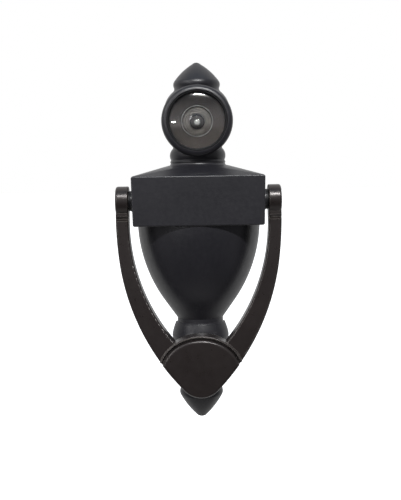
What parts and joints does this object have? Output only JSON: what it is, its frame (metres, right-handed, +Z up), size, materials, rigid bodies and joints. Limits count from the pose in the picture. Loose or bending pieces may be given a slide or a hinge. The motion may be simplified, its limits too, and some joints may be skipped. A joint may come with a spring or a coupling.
{
  "type": "door knocker with door viewer",
  "caption": "Urn-shaped door knocker with a swinging bail and a built-in wide-angle door viewer, fixed through the door by two screws.",
  "frame": {"origin": "on the viewer's axis, at the outer face of the door", "axes": "+Z up, +Y into the door and out of the back of the plate, +X to the right as seen from in front"},
  "size_m": [0.0756, 0.0726, 0.1678],
  "materials": {
    "plate_black": "matte black powder coat, fine texture",
    "bail_bronze": "satin oil-rubbed dark bronze",
    "lens_glass": "clear polished glass",
    "satin_nickel": "satin nickel",
    "dark_brass": "blackened brass",
    "black_trim": "matte black",
    "black_rubber": "matte rubber",
    "zinc_steel": "bright zinc plate"
  },
  "bodies": {
    "backplate": {"backplate": "plate_black", "strike_button": "plate_black", "viewer_barrel": "dark_brass", "front_lens": "lens_glass", "second_lens": "lens_glass", "second_lens_retainer": "satin_nickel", "third_lens": "lens_glass", "lens_gasket": "black_rubber", "lens_retainer": "black_trim", "lens_spacer": "satin_nickel", "field_stop": "black_trim", "pivot_washer_left": "black_trim", "pivot_washer_right": "black_trim", "mounting_screw_upper": "zinc_steel", "mounting_screw_lower": "zinc_steel", "cup_washer_upper": "zinc_steel", "cup_washer_lower": "zinc_steel"},
    "knocker": {"knocker_bail": "bail_bronze", "strike_stud": "bail_bronze", "pivot_pin_left": "bail_bronze", "pivot_pin_right": "bail_bronze", "pivot_clip_left": "zinc_steel", "pivot_clip_right": "zinc_steel"},
    "inner_washer": {"inner_washer": "satin_nickel"},
    "eyepiece": {"eyepiece_sleeve": "satin_nickel", "eyepiece_lens": "lens_glass", "eyepiece_retainer": "black_trim"}
  },
  "joints": [
    {"name": "knocker_swing", "type": "hinge", "parent": "backplate", "child": "knocker", "pos_m": [0, -0.014, -0.0363], "axis": [-1, 0, 0], "range_deg": [0, 180]},
    {"name": "inner_washer_travel", "type": "slide", "parent": "backplate", "child": "inner_washer", "axis": [0, 1, 0], "range_m": [-0.0101, 0.0361]},
    {"name": "eyepiece_screw", "type": "hinge", "parent": "inner_washer", "child": "eyepiece", "pos_m": [0, 0.045, 0], "axis": [0, 1, 0], "range_deg": [-3600, 12960]}
  ],
  "couplings": [
    {"joint": "inner_washer_travel", "follows": "eyepiece_screw", "m_per_rad": 0.00015915}
  ]
}
